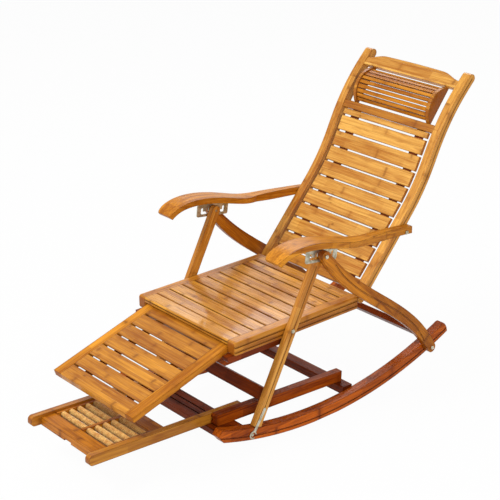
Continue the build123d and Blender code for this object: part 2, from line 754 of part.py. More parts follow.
# Armrests: bowed side profile cut to a tapering plan
arm_rear_y = arm_pivot_y + 26
arm_rear_z = arm_pivot_z + 4
arm_in = arm_outer - arm_width
arm_bar_in = front_leg_in
with BuildPart() as armrest:
    with BuildSketch(side(arm_in)):
        with BuildLine():
            crest = (arm_crest_y, arm_crest_z)
            tip = (arm_front, arm_crest_z - arm_tip_drop)
            fall = tan(radians(arm_drop_angle))
            mid = (arm_crest_y + arm_waist_run, arm_crest_z - arm_fall_run * fall - arm_waist_sink)
            tail = (arm_rear_y, arm_rear_z + arm_thickness * 0.55)
            Spline(tip, crest, mid, tail, tangents=[(0.75, 0.66), (1.0, -0.13)])
            low_tail = (arm_rear_y, arm_rear_z - arm_thickness * 0.7)
            low_mid = (mid[0], mid[1] - arm_thickness)
            low_crest = (crest[0] + arm_crest_set, crest[1] - arm_thickness)
            low_tip = (tip[0] + arm_tip_set, tip[1] - arm_thickness * 0.6)
            Line(tail, low_tail)
            Spline(low_tail, low_mid, low_crest, low_tip, tangents=[(-1.0, 0.1), (-0.7, -0.71)])
            Line(low_tip, tip)
        make_face()
    extrude(amount=arm_width)
    with BuildSketch(Plane.XY):
        with BuildLine():
            nose_y = arm_front - 1
            bar_y = arm_pivot_y - arm_bar_run
            wide_y = arm_crest_y + arm_wide_run
            Spline((arm_in + 12, nose_y), (arm_in, nose_y + 34), (arm_in, wide_y),
                   (arm_bar_in, bar_y), tangents=[(-1, 0.4), (0.35, 1)])
            Line((arm_bar_in, bar_y), (arm_bar_in, arm_rear_y + 5))
            Polyline((arm_bar_in, arm_rear_y + 5), (arm_bar_in + arm_rear_width, arm_rear_y + 5),
                     (arm_bar_in + arm_rear_width, arm_pivot_y - bolt_head))
            Spline((arm_bar_in + arm_rear_width, arm_pivot_y - bolt_head),
                   (arm_bar_in + arm_rear_width + 8, bar_y + 60), (arm_outer, wide_y - 20),
                   (arm_outer, nose_y + 34), (arm_outer - 12, nose_y),
                   tangents=[(0, -1), (-1, -0.4)])
            Line((arm_outer - 12, nose_y), (arm_in + 12, nose_y))
        make_face()
    extrude(amount=arm_crest_z + arm_thickness, mode=Mode.INTERSECT)
    axis_hole(arm_in, arm_pivot_y, arm_pivot_z, bore, arm_width)
save_pair(armrest, "armrest")

with BuildPart() as arm_pivot_bolts:
    bolt(seat_inner + 6, arm_pivot_y, arm_pivot_z,
         arm_bar_in + arm_rear_width - seat_inner - 6)
save_both(arm_pivot_bolts, "arm_pivot_bolts")

# Comb plates under the armrests: a channel with notches that drop over the apex bolt
arm_slope = degrees(atan2(arm_pivot_z - apex_z, arm_pivot_y - apex_y)) - 4
plate_plane = Plane((front_leg_out + plate_gap, apex_y, apex_z),
                    (0, cos(radians(arm_slope)), sin(radians(arm_slope))), (1, 0, 0))
with BuildPart() as comb_plate:
    with BuildSketch(plate_plane):
        with Locations((0, plate_top - plate_height / 2)):
            RectangleRounded(plate_length, plate_height, 6)
        with Locations((0, -bolt_diameter)):
            SlotCenterToCenter((notch_count - 1) * notch_pitch, bolt_diameter + 1, mode=Mode.SUBTRACT)
        with GridLocations(notch_pitch, 1, notch_count, 1):
            SlotCenterToCenter(bolt_diameter, bolt_diameter + 1, rotation=90, mode=Mode.SUBTRACT)
    extrude(amount=plate_thickness)
    add(armrest.part, mode=Mode.SUBTRACT)
save_pair(comb_plate, "comb_plate")

# Leg rest: side rails, boards between them, and battens beneath
slope_back = (0, cos(radians(legrest_slope)), sin(radians(legrest_slope)))
slope_up = (0, -sin(radians(legrest_slope)), cos(radians(legrest_slope)))
rest_plane = Plane((0, pin_y, groove_z), (1, 0, 0), slope_up)
rest_half = seat_inner - legrest_side_gap
rest_front = -(legrest_length - legrest_thickness / 2)
with BuildPart() as legrest_rail:
    with BuildSketch(Plane((rest_half - legrest_rail_width, pin_y, groove_z), slope_back, (1, 0, 0))):
        with Locations((rest_front / 2, 0)):
            Rectangle(-rest_front, legrest_thickness)
        Circle(legrest_thickness / 2)
    extrude(amount=legrest_rail_width)
    chamfer(legrest_rail.faces().sort_by(Axis.X)[-1].edges(), edge_bevel)
    axis_hole(rest_half - legrest_rail_width, pin_y, groove_z, legrest_pin + 2 * running_gap,
              legrest_rail_width)
save_both(legrest_rail, "legrest_rails")

board_zone = -rest_front - legrest_pin / 4
board_depth = (board_zone + legrest_gap) / legrest_slat_count - legrest_gap
board_span = 2 * (rest_half - legrest_rail_width)
board_places = [rest_front + board_depth / 2 + index * (board_depth + legrest_gap)
                for index in range(legrest_slat_count)]
with BuildPart() as legrest_slats:
    with BuildSketch(rest_plane.offset(legrest_thickness / 2)):
        with Locations(*[(0, place) for place in board_places[1:-1]]):
            Rectangle(board_span, board_depth)
    extrude(amount=-legrest_slat_thickness)
    with BuildSketch(rest_plane.offset(legrest_thickness / 2)):
        with Locations((0, board_places[0]), (0, board_places[-1])):
            Rectangle(board_span, board_depth)
    extrude(amount=-legrest_thickness)
    rest_up = Axis((0, pin_y, groove_z), slope_up)
    chamfer(legrest_slats.edges().filter_by(Axis.X).group_by(rest_up)[-1], edge_bevel)
save(legrest_slats, "legrest_slats")

with BuildPart() as legrest_battens:
    with BuildSketch(rest_plane.offset(-legrest_thickness / 2)):
        batten_middle = (board_places[0] + board_places[-1]) / 2
        batten_run = board_places[-1] - board_places[0] - board_depth
        with Locations((-board_span * 0.32, batten_middle), (board_span * 0.32, batten_middle)):
            Rectangle(batten_width, batten_run)
    extrude(amount=legrest_thickness - legrest_slat_thickness)
save(legrest_battens, "legrest_battens")

with BuildPart() as legrest_pins:
    with BuildSketch(side(rest_half - legrest_rail_width)):
        with Locations((pin_y, groove_z)):
            Circle(legrest_pin / 2)
    extrude(amount=seat_inner + groove_depth - 1 - rest_half + legrest_rail_width)
save_both(legrest_pins, "legrest_pins")

# Foot massager: long rails with tongues, planks, and a ladder of roller bearers
massage_half = massage_width / 2
with BuildPart() as massage_rail:
    with BuildSketch(guide_plane):
        with Locations((massage_half - massage_rail_width / 2, massage_length / 2 - massage_reach)):
            Rectangle(massage_rail_width, massage_length)
    extrude(amount=massage_rail_height / 2, both=True)
    fillet(massage_rail.edges().filter_by(Axis.X).sort_by(Axis.Y)[:2], massage_nose)
    tongue_start = 20.0
    with BuildSketch(guide_plane):
        tongue_length = massage_length - massage_reach - tongue_start
        with Locations((massage_half + tongue_depth / 2 - slide_gap / 2,
                        tongue_start + tongue_length / 2)):
            Rectangle(tongue_depth - slide_gap, tongue_length)
    extrude(amount=tongue_height / 2, both=True)
save_both(massage_rail, "massage_rails")

massage_inner = massage_half - massage_rail_width
plank_start = 24.0 - massage_reach
rollers_start = plank_start + front_plank_depth
rollers_length = roller_rows * roller_pitch + 8
rear_plank_start = rollers_start + rollers_length
with BuildPart() as massage_planks:
    for start, depth in ((plank_start, front_plank_depth), (rear_plank_start, rear_plank_depth)):
        with BuildSketch(guide_plane.offset(-plank_thickness / 2)):
            with Locations((0, start + depth / 2)):
                Rectangle(2 * massage_inner, depth)
        extrude(amount=plank_thickness)
    with BuildSketch(guide_plane.offset(plank_thickness / 2)):
        with Locations((0, plank_start - front_lip_thickness / 2)):
            Rectangle(2 * massage_inner, front_lip_thickness)
    extrude(amount=-front_lip_height)
    with BuildSketch(guide_plane.offset(plank_thickness / 2 - front_lip_height)):
        with Locations((0, plank_start - front_lip_thickness / 2)):
            Rectangle(front_lip_notch, front_lip_thickness)
    extrude(amount=front_lip_height / 4, mode=Mode.SUBTRACT)
save(massage_planks, "massage_planks")

bearer_height = 2.0
roller_span = massage_inner - 1.5 * strip_width
roller_places = [rollers_start + 4 + roller_pitch * (row + 0.5) for row in range(roller_rows)]
with BuildPart() as roller_bearers:
    with BuildSketch(guide_plane.offset(bearer_height)):
        for x in (-massage_inner + strip_width / 2, 0, massage_inner - strip_width / 2):
            with Locations((x, rollers_start + rollers_length / 2)):
                Rectangle(strip_width, rollers_length)
    extrude(amount=strip_height / 2, both=True)
    with BuildSketch(guide_plane.offset(bearer_height)):
        with Locations(*[(0, place) for place in roller_places]):
            Rectangle(2 * massage_inner - 6, roller_axle + 2 * running_gap)
    extrude(amount=roller_axle / 2 + running_gap, both=True, mode=Mode.SUBTRACT)
save(roller_bearers, "roller_bearers")

# Fluted rollers on wooden axles
roller_length = roller_span - 2 * side_gap
flute_step = 2 * pi / roller_flutes
flute_points = []
for index in range(roller_flutes):
    for turn, radius in ((0.0, roller_diameter / 2),
                         (0.5, roller_diameter / 2 - roller_flute_depth)):
        angle = (index + turn) * flute_step
        flute_points.append((radius * cos(angle), radius * sin(angle)))
for row, place in enumerate(roller_places):
    centre = guide_plane.offset(bearer_height).from_local_coords((0, place, 0))
    for column, name in ((-1, "left"), (1, "right")):
        middle = column * (strip_width / 2 + roller_span / 2)
        axle_half = roller_span / 2 + strip_width / 2 - 2
        with BuildPart() as roller:
            with BuildSketch(Plane((middle, centre.Y, centre.Z), (0, 1, 0), (1, 0, 0))):
                Polygon(*flute_points, align=None)
            extrude(amount=roller_length / 2, both=True)
            with BuildSketch(Plane((middle, centre.Y, centre.Z), (0, 1, 0), (1, 0, 0))):
                Circle(roller_axle / 2)
            extrude(amount=axle_half, both=True)
        save(roller, f"roller_{name}_{row + 1}")
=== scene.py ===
"""Looks for a folding bamboo rocking chair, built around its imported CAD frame.

Metres, +Z up, -Y is the way the sitter faces. Each finish is a procedural material on Object
coordinates, and the small pieces that the CAD leaves plain are numpy grid surfaces.
"""
from __future__ import annotations

import json
import logging
import math
from collections.abc import Callable
from dataclasses import dataclass, field
from enum import Enum
from typing import Any, ClassVar, Union

import bpy
import numpy as np
from mathutils import Matrix, Vector

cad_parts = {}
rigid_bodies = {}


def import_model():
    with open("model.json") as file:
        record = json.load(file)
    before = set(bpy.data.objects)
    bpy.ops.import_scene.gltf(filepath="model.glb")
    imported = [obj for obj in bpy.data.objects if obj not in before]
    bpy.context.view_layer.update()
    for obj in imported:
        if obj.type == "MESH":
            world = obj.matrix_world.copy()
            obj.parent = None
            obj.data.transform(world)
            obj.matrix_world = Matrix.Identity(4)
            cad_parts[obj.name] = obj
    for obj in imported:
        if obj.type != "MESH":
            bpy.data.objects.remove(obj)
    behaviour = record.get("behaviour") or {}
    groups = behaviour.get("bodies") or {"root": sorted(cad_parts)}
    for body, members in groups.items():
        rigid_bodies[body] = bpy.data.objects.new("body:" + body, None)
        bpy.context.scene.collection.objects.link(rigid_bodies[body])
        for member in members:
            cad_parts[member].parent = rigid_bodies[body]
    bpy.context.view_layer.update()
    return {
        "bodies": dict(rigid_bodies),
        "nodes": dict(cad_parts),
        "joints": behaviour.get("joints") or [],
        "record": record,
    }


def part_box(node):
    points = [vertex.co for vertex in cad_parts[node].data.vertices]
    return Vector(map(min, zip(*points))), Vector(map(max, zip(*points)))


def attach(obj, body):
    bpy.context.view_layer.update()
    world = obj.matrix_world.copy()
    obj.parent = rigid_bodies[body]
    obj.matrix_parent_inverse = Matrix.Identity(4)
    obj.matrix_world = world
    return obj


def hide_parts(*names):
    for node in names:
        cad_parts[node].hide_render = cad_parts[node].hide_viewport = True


LOG = logging.getLogger("rocking_chair")
PHOTO_SIDE = 500.0
WHITE = (1.0, 1.0, 1.0)
# The middle of a value that runs from 0 to 1.
MIDDLE = 0.5
Colour = tuple[float, float, float]
Spot = tuple[float, float, float]
Span = tuple[float, float]


class Grain(Enum):
    """Which way the bamboo's fibres run: the tilt in degrees about X from +Y, or across."""

    ACROSS = None
    LEVEL = 0.0
    GUIDE = -3.0
    LEGREST = 17.0
    BACK = 55.0
    FRONT_LEG = 62.4
    REAR_LEG = -44.5
    ARM = -8.0


class Tone(Enum):
    """The chair's bamboo colours, named from palest to darkest."""

    PALE = "pale"
    HONEY = "honey"
    GOLD = "gold"
    GLOSS = "gloss"
    HAZEL = "hazel"
    AMBER = "amber"
    RUSSET = "russet"
    CHESTNUT = "chestnut"


class Side(Enum):
    """The chair's two sides, as the sign of X."""

    LEFT = -1.0
    RIGHT = 1.0


Number = Union[float, "Wire"]


class Wire:
    """A node's output socket, whose operators add Math nodes."""

    def __init__(self, sheet: NodeSheet, socket: bpy.types.NodeSocket) -> None:
        """Keep the sheet that owns the socket."""
        self.sheet = sheet
        self.socket = socket

    def _math(self, operation: str, first: Number, second: Number) -> Wire:
        """Add one Math node.

        Args:
            operation: The Math node's operation.
            first: Its first value.
            second: Its second value.

        Returns:
            The node's output.
        """
        return self.sheet.add("ShaderNodeMath", {"operation": operation}, {0: first, 1: second})

    def __add__(self, other: Number) -> Wire:
        """Sum."""
        return self._math("ADD", self, other)

    __radd__ = __add__

    def __sub__(self, other: Number) -> Wire:
        """Difference."""
        return self._math("SUBTRACT", self, other)

    def __rsub__(self, other: Number) -> Wire:
        """Difference the other way round."""
        return self._math("SUBTRACT", other, self)

    def __mul__(self, other: Number) -> Wire:
        """Product."""
        return self._math("MULTIPLY", self, other)

    __rmul__ = __mul__

    def __truediv__(self, other: Number) -> Wire:
        """Quotient."""
        return self._math("DIVIDE", self, other)

    def __rtruediv__(self, other: Number) -> Wire:
        """Quotient the other way round."""
        return self._math("DIVIDE", other, self)

    def whole(self) -> Wire:
        """The whole number below this value."""
        return self._math("FLOOR", self, 0.0)

    def fraction(self) -> Wire:
        """What is left above the whole number."""
        return self._math("FRACT", self, 0.0)

    def apart(self, other: Number) -> Wire:
        """Distance from another value."""
        gap = self - other
        return gap._math("ABSOLUTE", gap, 0.0)

    def at_most(self, other: Number) -> Wire:
        """The lesser of two values."""
        return self._math("MINIMUM", self, other)

    def rise(self, low: float, high: float) -> Wire:
        """0 below low, 1 above high, smooth between.

        Args:
            low: Where the rise starts.
            high: Where it ends.

        Returns:
            The eased value.
        """
        return self.sheet.add("ShaderNodeMapRange", {"interpolation_type": "SMOOTHSTEP"},
                              {"Value": self, "From Min": low, "From Max": high,
                               "To Min": 0.0, "To Max": 1.0})

    def also(self, output: Union[int, str]) -> Wire:
        """Another output of the same node."""
        return Wire(self.sheet, self.socket.node.outputs[output])


Place = tuple[Wire, Wire, Wire]


class NodeSheet:
    """One node tree, with a single method that makes nodes."""

    edge_samples: ClassVar[int] = 4
    edge_range: ClassVar[Span] = (0.004, 0.16)
    painted_shade_samples: ClassVar[int] = 6

    def __init__(self, owner: Union[bpy.types.Material, bpy.types.World]) -> None:
        """Start from the owner's empty node tree.

        Args:
            owner: The material or world whose nodes these are.
        """
        owner.use_nodes = True
        self.tree = owner.node_tree
        self.tree.nodes.clear()

    def add(self, kind: str, settings: dict[str, Any], values: dict[Any, Any],
            output: Union[int, str] = 0) -> Union[Wire, None]:
        """Make one node.

        Args:
            kind: The node's type.
            settings: Its properties, set first; "stops" fills a colour ramp.
            values: Its sockets' values or the wires that feed them.
            output: Which output to return.

        Returns:
            The chosen output, or None for a node without outputs.
        """
        node = self.tree.nodes.new(kind)
        for key, value in settings.items():
            if key == "stops":
                self._fill_ramp(node, value)
            else:
                setattr(node, key, value)
        for key, value in values.items():
            self._feed(node.inputs[key], value)
        return Wire(self, node.outputs[output]) if node.outputs else None

    @staticmethod
    def _fill_ramp(node: bpy.types.Node, stops: list[tuple[float, Colour]]) -> None:
        """Set a colour ramp's stops.

        Args:
            node: The ramp.
            stops: Places and colours in order.
        """
        elements = node.color_ramp.elements
        while len(elements) < len(stops):
            elements.new(1.0)
        for element, (place, colour) in zip(elements, stops):
            element.position = place
            element.color = (*colour, 1.0)

    def _feed(self, socket: bpy.types.NodeSocket, value: Any) -> None:
        """Link a wire to a socket, or set its value.

        Args:
            socket: The input to feed.
            value: A wire, a number, a vector, or a colour without its alpha.
        """
        if isinstance(value, Wire):
            self.tree.links.new(value.socket, socket)
        elif isinstance(value, tuple) and len(value) == 3 and len(socket.default_value) == 4:
            socket.default_value = (*value, 1.0)
        else:
            socket.default_value = value

    def surface(self, values: dict[str, Any]) -> Wire:
        """A Principled shader with its sockets fed."""
        return self.add("ShaderNodeBsdfPrincipled", {}, values)

    def show(self, shader: Wire, output: str = "ShaderNodeOutputMaterial") -> None:
        """Send a shader to the tree's output."""
        self.add(output, {}, {"Surface": shader})

    def place(self, source: str = "Object", turn: Spot = (0.0, 0.0, 0.0)) -> Wire:
        """The piece's own coordinates, or its own normal.

        Args:
            source: Which of Texture Coordinate's outputs to read.
            turn: The Euler angles, in radians, that the pattern is turned by.

        Returns:
            The turned vector.
        """
        spot = self.add("ShaderNodeTexCoord", {}, {}, source)
        return self.add("ShaderNodeMapping", {"vector_type": "TEXTURE"},
                        {"Vector": spot, "Rotation": turn})

    def split(self, vector: Wire) -> Place:
        """The three parts of a vector."""
        first = self.add("ShaderNodeSeparateXYZ", {}, {0: vector})
        return first, first.also(1), first.also(2)

    def join(self, first: Number, second: Number, third: Number) -> Wire:
        """A vector from three parts."""
        return self.add("ShaderNodeCombineXYZ", {}, {0: first, 1: second, 2: third})

    def chance(self, spot: Wire) -> Wire:
        """A steady random value for each whole-number spot."""
        return self.add("ShaderNodeTexWhiteNoise", {}, {"Vector": spot}, "Value")

    def tint(self, factor: Number, first: Any, second: Any) -> Wire:
        """Mix two colours.

        Args:
            factor: Share of the second colour.
            first: A colour or a wire.
            second: A colour or a wire.

        Returns:
            The mixed colour.
        """
        return self.add("ShaderNodeMix", {"data_type": "RGBA"}, {0: factor, 6: first, 7: second}, 2)

    def bump(self, height: Wire, depth: float, normal: Union[Wire, None] = None) -> Wire:
        """A surface normal from a height.

        Args:
            height: The height, in units of the depth.
            depth: The depth in metres.
            normal: The normal to start from, if not the surface's own.

        Returns:
            The bumped normal.
        """
        values = {"Height": height, "Distance": depth, "Strength": 1.0}
        if normal is not None:
            values["Normal"] = normal
        return self.add("ShaderNodeBump", {}, values)

    def eased(self, radius: float) -> tuple[Wire, Wire]:
        """Edges rounded in shading.

        Args:
            radius: The rounding's radius.

        Returns:
            The rounded normal, and how near an edge the surface is, from 0 to 1.
        """
        soft = self.add("ShaderNodeBevel", {"samples": self.edge_samples}, {"Radius": radius})
        plain = self.add("ShaderNodeNewGeometry", {}, {}, "Normal")
        match = self.add("ShaderNodeVectorMath", {"operation": "DOT_PRODUCT"},
                         {0: soft, 1: plain}, "Value")
        return soft, (1.0 - match).rise(*self.edge_range)

    def painted_crevice_shade(self, reach: float, own: bool) -> Wire:
        """How closed in the surface is, from 0 in the open to 1 in a narrow gap: the mask for painted
        shade.

        Args:
            reach: How far to look for other surfaces.
            own: Whether to look at the same piece only.

        Returns:
            The share that is closed in.
        """
        settings = {"samples": self.painted_shade_samples, "only_local": own}
        return 1.0 - self.add("ShaderNodeAmbientOcclusion", settings, {"Distance": reach}, "AO")


@dataclass(frozen=True)
class Figure:
    """Noise drawn out along a direction: a wood's fibres or a metal's bloom."""

    along: float
    across: float
    scale: float
    detail: float = 2.0
    rough: float = 0.5

    def at(self, sheet: NodeSheet, place: Place) -> Wire:
        """The figure's value at a place.

        Args:
            sheet: The finish's node tree.
            place: The run along the fibres, the width and the depth.

        Returns:
            The value, from 0 to 1.
        """
        run, wide, deep = place
        spot = sheet.join(run * self.along, wide * self.across, deep * self.across)
        return sheet.add("ShaderNodeTexNoise", {}, {"Vector": spot, "Scale": self.scale,
                                                    "Detail": self.detail, "Roughness": self.rough})


@dataclass(frozen=True)
class Marks:
    """What the strips bring to a surface, each value from 0 to 1.

    The lot is a strip's own random value and the joint that of each length between cane nodes. The
    ring is the swelling at a node, the line is its dark scar, and the seam lies between two strips.
    """

    lot: Wire
    joint: Wire
    ring: Wire
    line: Wire
    seam: Wire


@dataclass(frozen=True)
class Strips:
    """How the bamboo strips are laid side by side, and where their cane nodes come."""

    width: float = 0.021
    depth_share: float = 2.4
    width_start: float = 0.37
    depth_start: float = 0.21
    lot_seed: float = 3.0
    joint_seed: float = 9.0
    node_step: float = 0.27
    step_shift: float = 7.0
    node_first: float = 0.22
    node_spread: float = 0.56
    sway: float = 0.03
    faintest_line: float = 0.2
    middle_range: Span = (0.34, 0.49)
    ring_range: Span = (0.004, 0.085)
    line_range: Span = (0.006, 0.026)
    seam_range: Span = (0.465, 0.5)
    drift: ClassVar[Figure] = Figure(1.0, 1.0, 90.0)

    def marks(self, sheet: NodeSheet, place: Place) -> Marks:
        """Number the strips, and find their nodes and seams.

        Args:
            sheet: The finish's node tree.
            place: The run along the fibres, the width and the depth.

        Returns:
            The strips' marks.
        """
        run, wide, deep = place
        # Each strip has its own number, from its place across the width and depth.
        across = wide / self.width + self.width_start
        lane = across.whole()
        layer = (deep / (self.width * self.depth_share) + self.depth_start).whole()
        lot = sheet.chance(sheet.join(lane, layer, self.lot_seed))
        # Cane nodes come at uneven places along each strip.
        along = run / self.node_step + lot * self.step_shift
        cell = along.whole()
        node = sheet.chance(sheet.join(cell, lane, layer)) * self.node_spread + self.node_first
        joint = sheet.chance(sheet.join(cell, lane, layer + self.joint_seed))
        sway = (self.drift.at(sheet, place) - MIDDLE) * self.sway
        gap = (along.fraction() + sway).apart(node)
        # Nodes fade towards a strip's edges.
        off_centre = across.fraction().apart(MIDDLE)
        middle = 1.0 - off_centre.rise(*self.middle_range)
        ring = (1.0 - gap.rise(*self.ring_range)) * middle
        depth = joint * (1.0 - self.faintest_line) + self.faintest_line
        line = (1.0 - gap.rise(*self.line_range)) * middle * depth
        return Marks(lot, joint, ring, line, off_centre.rise(*self.seam_range))


@dataclass(frozen=True)
class Shade:
    """Each pattern's share of the shade, which runs from the dark colour at 0 to the light one at 1."""

    lot: float = 0.36
    joint: float = 0.28
    vein: float = 0.95
    cloud: float = 0.45
    level: float = -0.595


@dataclass(frozen=True)
class StainAndPaintedShade:
    """How strongly each mark and the painted gap shade darken bamboo; deepest is a share of the dark
    colour.
    """

    smudge: float = 0.62
    pore: float = 0.30
    ring: float = 0.378
    line: float = 0.495
    seam: float = 0.30
    cut_end: float = 0.80
    edge: float = 0.85
    painted_crevice_shade: float = 0.85
    deepest: float = 0.42


@dataclass(frozen=True)
class Relief:
    """How far each pattern stands up or lies sunk, in units of the depth."""

    fibre: float = 0.5
    vein: float = 0.25
    ring: float = 0.4
    seam: float = 0.6
    pore: float = 0.2
    depth: float = 0.00045


@dataclass(frozen=True)
class Bamboo:
    """Lacquered laminated bamboo: strips side by side, fibre streaks and cane nodes."""

    tone: Tone
    dark: Colour
    light: Colour
    streak: float = 1.05
    rough: float = 0.34
    coat: float = 0.10
    gloss: float = 0.15
    rough_swing: ClassVar[float] = 0.18
    coat_rough: ClassVar[float] = 0.08
    ease: ClassVar[float] = 0.0032
    painted_shade_reach: ClassVar[float] = 0.012
    painted_shade_range: ClassVar[Span] = (0.20, 0.62)
    end_range: ClassVar[Span] = (0.70, 0.95)
    pore_range: ClassVar[Span] = (0.60, 0.74)
    smudge_range: ClassVar[Span] = (0.54, 0.74)
    fibre: ClassVar[Figure] = Figure(3.0, 120.0, 5.0, 3.0, 0.6)
    vein: ClassVar[Figure] = Figure(1.2, 34.0, 4.0)
    cloud: ClassVar[Figure] = Figure(1.0, 1.0, 5.0)
    smudge: ClassVar[Figure] = Figure(2.2, 13.0, 4.0)
    pore: ClassVar[Figure] = Figure(10.0, 420.0, 3.0)
    strips: ClassVar[Strips] = Strips()
    shade: ClassVar[Shade] = Shade()
    stain: ClassVar[StainAndPaintedShade] = StainAndPaintedShade()
    relief: ClassVar[Relief] = Relief()

    @staticmethod
    def lay(sheet: NodeSheet, grain: Grain) -> tuple[Place, Wire]:
        """Turn the piece's coordinates so that they follow the fibres.

        Args:
            sheet: The finish's node tree.
            grain: Which way the fibres run.

        Returns:
            The run, width and depth, and how squarely a face cuts the fibres, from 0 to 1.
        """
        turn = (math.radians(grain.value or 0.0), 0.0, 0.0)
        side, ahead, deep = sheet.split(sheet.place("Object", turn))
        face_side, face_ahead, _ = sheet.split(sheet.place("Normal", turn))
        if grain is Grain.ACROSS:
            return (side, ahead, deep), face_side.apart(0.0)
        return (ahead, side, deep), face_ahead.apart(0.0)

    def material(self, grain: Grain) -> bpy.types.Material:
        """The finish with its fibres along a direction.

        Args:
            grain: Which way the fibres run.

        Returns:
            The material.
        """
        material = bpy.data.materials.new(f"bamboo_{self.tone.value}_{grain.name.lower()}")
        sheet = NodeSheet(material)
        place, cut = self.lay(sheet, grain)
        marks = self.strips.marks(sheet, place)
        fibre = self.fibre.at(sheet, place)
        vein = self.vein.at(sheet, place)
        pore = self.pore.at(sheet, place).rise(*self.pore_range)
        smudge = self.smudge.at(sheet, place).rise(*self.smudge_range)
        shade = marks.lot * self.shade.lot + marks.joint * self.shade.joint + vein * self.shade.vein
        shade = shade + (fibre - MIDDLE) * self.streak
        shade = shade + self.cloud.at(sheet, place) * self.shade.cloud + self.shade.level
        colour = sheet.add("ShaderNodeValToRGB",
                           {"stops": [(0.0, self.dark), (1.0, self.light)]}, {"Fac": shade})
        soft, rim = sheet.eased(self.ease)
        # Painted shade: ambient occlusion within the piece darkens its corners and the gaps between its
        # slats.
        gap = sheet.painted_crevice_shade(self.painted_shade_reach, True).rise(*self.painted_shade_range)
        deepest = tuple(part * self.stain.deepest for part in self.dark)
        # Cut ends and edges hold more lacquer than the faces; the darkening in corners and gaps is
        # painted shade.
        stains = (
            (smudge, self.stain.smudge, self.dark),
            (pore, self.stain.pore, self.dark),
            (marks.ring, self.stain.ring, self.dark),
            (marks.line, self.stain.line, deepest),
            (marks.seam, self.stain.seam, deepest),
            (cut.rise(*self.end_range), self.stain.cut_end, self.dark),
            (rim, self.stain.edge, deepest),
            # painted shade in corners and gaps
            (gap, self.stain.painted_crevice_shade, deepest),
        )
        for mark, share, stain in stains:
            colour = sheet.tint(mark * share, colour, stain)
        raised = fibre * self.relief.fibre + vein * self.relief.vein + marks.ring * self.relief.ring
        sunk = marks.seam * self.relief.seam + pore * self.relief.pore
        sheet.show(sheet.surface({
            "Base Color": colour,
            "Roughness": (fibre - MIDDLE) * self.rough_swing + self.rough,
            "Normal": sheet.bump(raised - sunk, self.relief.depth, soft),
            "Coat Weight": self.coat,
            "Coat Roughness": self.coat_rough,
            "Specular IOR Level": self.gloss,
        }))
        return material


@dataclass(frozen=True)
class KnurledWood:
    """Pale turned wood whose knurl holds dark stain, with painted shade in the gaps between rollers."""

    shadow: Colour = (0.10, 0.03, 0.008)
    stain: Colour = (0.26, 0.085, 0.02)
    dark: Colour = (0.64, 0.25, 0.042)
    light: Colour = (1.0, 0.66, 0.21)
    dark_end: float = 0.2
    light_end: float = 0.8
    blotch_share: float = 0.5
    fleck_share: float = 0.36
    painted_shade_share: float = 0.96
    painted_shade_reach: float = 0.022
    painted_shade_range: Span = (0.34, 0.66)
    fleck_range: Span = (0.52, 0.66)
    blotch_range: Span = (0.22, 0.80)
    rough: float = 0.42
    rough_swing: float = 0.2
    relief: float = 0.0002
    gloss: float = 0.3
    fibre: ClassVar[Figure] = Figure(4.0, 150.0, 5.0, 3.0, 0.6)
    fleck: ClassVar[Figure] = Figure(1.0, 1.0, 260.0, 2.0, 0.6)
    blotch: ClassVar[Figure] = Figure(1.0, 1.0, 90.0)

    def material(self) -> bpy.types.Material:
        """The turned finish.

        Returns:
            The material.
        """
        material = bpy.data.materials.new("knurled_wood")
        sheet = NodeSheet(material)
        place = sheet.split(sheet.place())
        fibre = self.fibre.at(sheet, place)
        fleck = self.fleck.at(sheet, place).rise(*self.fleck_range)
        blotch = self.blotch.at(sheet, place).rise(*self.blotch_range)
        # Painted shade: ambient occlusion from the neighbouring rollers darkens the gaps between them.
        gap = sheet.painted_crevice_shade(self.painted_shade_reach, False).rise(*self.painted_shade_range)
        shade = fibre * (1.0 - self.blotch_share) + blotch * self.blotch_share
        stops = [(self.dark_end, self.dark), (self.light_end, self.light)]
        colour = sheet.add("ShaderNodeValToRGB", {"stops": stops}, {"Fac": shade})
        colour = sheet.tint(fleck * self.fleck_share, colour, self.stain)
        # Painted shade: the gaps between rollers are tinted towards the shadow colour.
        colour = sheet.tint(gap * self.painted_shade_share, colour, self.shadow)
        sheet.show(sheet.surface({
            "Base Color": colour,
            "Roughness": (fibre - MIDDLE) * self.rough_swing + self.rough,
            "Normal": sheet.bump(fibre, self.relief),
            "Specular IOR Level": self.gloss,
        }))
        return material


@dataclass(frozen=True)
class Zinc:
    """Zinc-plated pressed steel with a faint yellow bloom."""

    colour: Colour = (0.34, 0.305, 0.21)
    bright: Colour = (0.60, 0.57, 0.46)
    ease: float = 0.0007
    edge_share: float = 0.5
    bloom_range: Span = (0.35, 0.68)
    least_rough: float = 0.21
    scuff_rough: float = 0.22
    bloom_rough: float = 0.1
    relief: float = 0.0001
    bloom: ClassVar[Figure] = Figure(1.0, 1.0, 60.0, 3.0, 0.6)
    scuff: ClassVar[Figure] = Figure(1.0, 1.0, 420.0, 2.0, 0.6)

    def material(self) -> bpy.types.Material:
        """The plated finish.

        Returns:
            The material.
        """
        material = bpy.data.materials.new("zinc_steel")
        sheet = NodeSheet(material)
        place = sheet.split(sheet.place())
        bloom = self.bloom.at(sheet, place)
        scuff = self.scuff.at(sheet, place)
        soft, rim = sheet.eased(self.ease)
        colour = sheet.tint(bloom.rise(*self.bloom_range), self.colour, self.bright)
        colour = sheet.tint(rim * self.edge_share, colour, self.bright)
        sheet.show(sheet.surface({
            "Base Color": colour,
            "Metallic": 1.0,
            "Roughness": scuff * self.scuff_rough + bloom * self.bloom_rough + self.least_rough,
            "Normal": sheet.bump(scuff, self.relief, soft),
        }))
        return material


